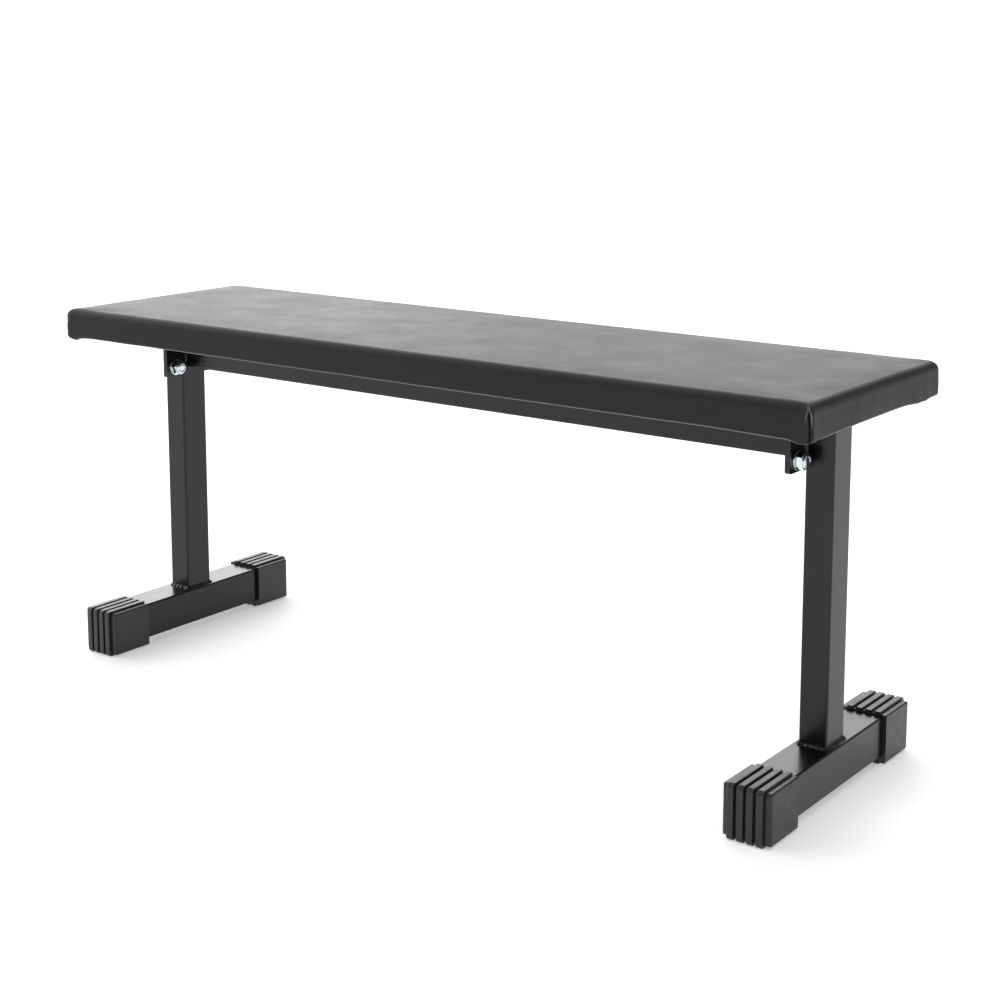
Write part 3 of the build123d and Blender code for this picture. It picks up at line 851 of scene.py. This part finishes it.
def chamfered(half_flats, low, high, both_ends):
    """Stations of a hexagonal body whose corners are cut by a 30 degree cone at its top or both ends."""
    face = CHAMFER_FACE * half_flats
    stations = []
    for share in (0.0, 0.3, 0.6, 1.0):
        drop = share * (half_flats * 2 / math.sqrt(3) - face) / CHAMFER_SLOPE
        stations.append((high - drop, hexagon(half_flats, face + CHAMFER_SLOPE * drop)))
    bottom = [(low + high - h, r) for h, r in stations] if both_ends else [(low, hexagon(half_flats))]
    return bottom + stations[::-1]


def thread(size, low, high):
    """Stations of a threaded shank with a chamfered tip."""
    pitch, shank = size["pitch"], size["shank"]

    def radius_at(height):
        def radius(angle):
            phase = (height / pitch - angle / (2 * math.pi)) % 1
            groove = np.clip((abs(2 * phase - 1) - CREST) / FLANK, 0, 1)
            tip = shank - TIP_DEPTH * pitch + TIP_SLOPE * max(high - height, 0)
            return min(shank - THREAD_DEPTH * pitch * (1 - groove), tip)
        return radius

    return [(h, radius_at(h)) for h in np.arange(low, high + 1e-6, pitch / 6)]


def washer(size):
    """Closed profile of a flat washer with softened rims."""
    soft, thick = WASHER_SOFT, size["washer_height"]
    outer, bore = size["washer"], size["shank"] + WASHER_GAP
    return [
        (0, bore + soft), (0, outer - soft), (0.3 * soft, outer - 0.3 * soft), (soft, outer),
        (thick - soft, outer), (thick - 0.3 * soft, outer - 0.3 * soft), (thick, outer - soft),
        (thick, bore + soft), (thick - soft, bore), (soft, bore),
    ]


def shank(size, length):
    """Stations of a bolt below its head: a plain part and a threaded tip."""
    plain = max(length - THREAD_TURNS * size["pitch"], LEAST_PLAIN)
    return [(0.0, size["shank"]), (plain, size["shank"])] + thread(size, plain + THREAD_START, length)


def hexagon_bolt(size, length):
    """Hexagon head below the origin, shank above it."""
    body = [(-h, r) for h, r in chamfered(size["flats"], HEAD_COLLAR, size["head"], False)][::-1]
    seat = SEAT_SHARE * size["flats"]
    return body + [(-HEAD_COLLAR, seat), (0.0, seat)] + shank(size, length)


def button_bolt(size, length):
    """Low domed head with a hexagon socket below the origin, shank above it."""
    floor, rim = SOCKET_DEPTH - BUTTON_HEIGHT, -BUTTON_HEIGHT
    wall = hexagon(SOCKET)
    socket = [(floor, wall), (rim + RIM_BREAK, wall), (rim, hexagon(SOCKET + RIM_BREAK))]
    dome = []
    for turn in np.linspace(0, math.pi / 2, BUTTON_STEPS):
        reach = BUTTON_FLAT + (BUTTON - BUTTON_FLAT) * math.sin(turn)
        dome.append((rim + (BUTTON_HEIGHT - BUTTON_FOOT) * (1 - math.cos(turn)), reach))
    return socket + dome + [(-EDGE_BREAK, BUTTON), (0.0, BUTTON - EDGE_BREAK)] + shank(size, length)


def lock_nut():
    """Closed profile of a lock nut: bore, chamfered hexagon and rounded collar."""
    bore = M10["shank"] + BORE_GAP
    collar = [(NUT_HEIGHT, COLLAR)] + [(COLLAR_TOP + up, COLLAR + out) for up, out in COLLAR_PROFILE]
    hexagonal = chamfered(M10["flats"], 0, NUT_HEIGHT, True)
    mouth = [(COLLAR_TOP, bore + MOUTH_WIDE), (COLLAR_TOP - MOUTH_DEEP, bore)]
    return [(0, bore)] + hexagonal + collar + mouth


def fastener_piece(name, node, stations, places, closed):
    """One set of equal fasteners, which stands for its CAD node."""
    points, faces = turned(stations, places, closed)
    piece = make_piece(name, points, faces, MATERIALS["zinc"], FASTENER_SHARP)
    outward(piece)
    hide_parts(node)


def centre_of(node):
    """Middle of a CAD node's box."""
    low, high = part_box(node)
    return (low + high) / 2


# Frame bolts lie along +X, two at each end, each turned as it happened to be tightened.
washers_low, washers_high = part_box("frame_washers")
bolt_y = washers_high.y - M10["washer"] * MM
bolt_z = (washers_low.z + washers_high.z) / 2
stack_starts = (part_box("leg_plate_left")[0].x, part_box("seat_plate_right")[0].x)
grip = 1000 * (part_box("seat_plate_right")[1].x - stack_starts[1]) * 2
bolt_rows = [(x, y) for x in stack_starts for y in (-bolt_y, bolt_y)]


def along_x(offset, turn):
    """One matrix for each frame bolt, this many millimetres along from the first plate's face."""
    return [
        Matrix.Translation((x + offset * MM, y, bolt_z)) @ Matrix.Rotation(math.pi / 2, 4, "Y")
        @ Matrix.Rotation(turn * (n + 1), 4, "Z")
        for n, (x, y) in enumerate(bolt_rows)
    ]


nut_start = grip + M10["washer_height"]
fastener_piece("washers_frame", "frame_washers", washer(M10), along_x(grip, 0.0), True)
bolt_stations = button_bolt(M10, FRAME_BOLT_LENGTH)
fastener_piece("bolts_frame", "frame_bolts", bolt_stations, along_x(0.0, BOLT_TURN), False)
fastener_piece("nuts_lock", "lock_nuts", lock_nut(), along_x(nut_start, NUT_TURN), True)

# Pad bolts point up through the brackets into the board.
pad_bolt_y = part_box("pad_washers")[1].y - M8["washer"] * MM
pad_bolt_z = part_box("pad_washers")[0].z
bracket_middles = [centre_of(f"pad_bracket_{place}").x for place in ("left", "centre", "right")]
pad_bolt_spots = [(x, y) for x in bracket_middles for y in (-pad_bolt_y, pad_bolt_y)]
upright = [
    Matrix.Translation((x, y, pad_bolt_z)) @ Matrix.Rotation(PAD_BOLT_TURN * n, 4, "Z")
    for n, (x, y) in enumerate(pad_bolt_spots)
]
fastener_piece("washers_pad", "pad_washers", washer(M8), upright, True)
fastener_piece("bolts_pad", "pad_bolts", hexagon_bolt(M8, PAD_BOLT_LENGTH), upright, False)


# ---------------------------------------------------------------- studio
FLOOR_SIZE = 60.0
FLOOR_GLOW = 0.38            # lifts the floor to the clean white of a lit studio sweep
SKY_MOST = 3.6               # radiance that a ramp value of 1 stands for
# Radiance of the studio by degrees above the horizon, on its bright side and on its dark side.
BRIGHT_SIDE = ((0, 1.45), (6, 1.8), (15, 2.3), (21, 3.15), (28, 3.3), (38, 2.8), (60, 1.3), (90, 1.25))
DARK_SIDE = ((0, 1.1), (7.5, 1.04), (11, 0.42), (18, 0.30), (28, 0.20), (40, 0.12), (58, 1.1), (90, 1.25))
BRIGHT_TURN = math.radians(70)       # middle of the bright side, to the left of +Y
SIDE_START, SIDE_END = 0.25, 0.65    # shares of that direction where the bright side begins and is full
FLOOR_SHADES = ((0.87, 0.87, 0.87), (0.90, 0.90, 0.90))
LAMP_PLACE = (-6.8, 6.1, 2.4)
LAMP_AIM = (-0.4, 0, 0.1)
LAMP_SIZE = (3.0, 2.2)
LAMP_WATTS = 30


def floor_piece():
    """Plain pale floor."""
    half = FLOOR_SIZE / 2
    mesh = bpy.data.meshes.new("floor")
    corners = [(-half, -half, 0), (half, -half, 0), (half, half, 0), (-half, half, 0)]
    mesh.from_pydata(corners, [], [(0, 1, 2, 3)])
    s = Shader("floor", Roughness=0.7, Specular_IOR_Level=0.2, Emission_Strength=FLOOR_GLOW)
    s.surface.inputs["Emission Color"].default_value = (1, 1, 1, 1)
    s.colour(s.mix(s.noise(3, 3), *FLOOR_SHADES))
    mesh.materials.append(s.material)
    floor = bpy.data.objects.new("floor", mesh)
    bpy.context.scene.collection.objects.link(floor)


def studio_light():
    """Soft light from all round, by direction: broad and bright at the back left, darker elsewhere."""
    world = bpy.data.worlds.new("studio")
    bpy.context.scene.world = world
    world.use_nodes = True
    tree = world.node_tree
    direction = tree.nodes.new("ShaderNodeSeparateXYZ")
    tree.links.new(tree.nodes.new("ShaderNodeTexCoord").outputs["Generated"], direction.inputs[0])
    towards = tree.nodes.new("ShaderNodeVectorMath")
    towards.operation = "DOT_PRODUCT"
    tree.links.new(direction.inputs[0].links[0].from_socket, towards.inputs[0])
    towards.inputs[1].default_value = (-math.sin(BRIGHT_TURN), math.cos(BRIGHT_TURN), 0)
    side = tree.nodes.new("ShaderNodeMapRange")
    side.interpolation_type = "SMOOTHSTEP"
    tree.links.new(towards.outputs["Value"], side.inputs["Value"])
    for socket, number in zip(("From Min", "From Max"), (SIDE_START, SIDE_END)):
        side.inputs[socket].default_value = number
    blend = tree.nodes.new("ShaderNodeMix")
    blend.data_type = "RGBA"
    tree.links.new(side.outputs["Result"], blend.inputs["Factor"])
    for name, profile in (("A", DARK_SIDE), ("B", BRIGHT_SIDE)):
        ramp = tree.nodes.new("ShaderNodeValToRGB")
        tree.links.new(direction.outputs["Z"], ramp.inputs["Fac"])
        stops = ramp.color_ramp.elements
        stops.remove(stops[1])
        for n, (degrees, radiance) in enumerate(profile):
            stop = stops.new(math.sin(math.radians(degrees))) if n else stops[0]
            stop.color = (*[radiance / SKY_MOST] * 3, 1.0)
        socket = [s for s in blend.inputs if s.name == name and s.type == "RGBA"][0]
        tree.links.new(ramp.outputs["Color"], socket)
    background = tree.nodes["Background"]
    tree.links.new([s for s in blend.outputs if s.type == "RGBA"][0], background.inputs["Color"])
    background.inputs["Strength"].default_value = SKY_MOST


def soft_light(name, place, aim, size, watts):
    """Large soft box that the camera doesn't see."""
    light = bpy.data.lights.new(name, "AREA")
    light.shape = "RECTANGLE"
    light.size, light.size_y = size
    light.energy = watts
    box = bpy.data.objects.new(name, light)
    bpy.context.scene.collection.objects.link(box)
    box.location = place
    box.rotation_euler = (Vector(aim) - Vector(place)).to_track_quat("-Z", "Y").to_euler()
    box.visible_camera = False


floor_piece()
studio_light()
soft_light("light_back_left", LAMP_PLACE, LAMP_AIM, LAMP_SIZE, LAMP_WATTS)
bpy.context.scene.view_settings.view_transform = "Standard"

# ---------------------------------------------------------------- camera
CAMERA_PLACE = (1.2557, -1.6204, 0.7620)
CAMERA_TURN = 0.6393         # to the left of +Y
CAMERA_TILT = 0.1497         # below the horizon
CAMERA_LENS = 64.61
CAMERA_SENSOR = 36.0
CAMERA_SHIFT = -0.18

camera = bpy.data.objects.new("camera", bpy.data.cameras.new("camera"))
bpy.context.scene.collection.objects.link(camera)
camera.location = CAMERA_PLACE
camera.rotation_euler = (math.pi / 2 - CAMERA_TILT, 0, CAMERA_TURN)
camera.data.sensor_width = CAMERA_SENSOR
camera.data.lens = CAMERA_LENS
camera.data.shift_y = CAMERA_SHIFT
bpy.context.scene.camera = camera
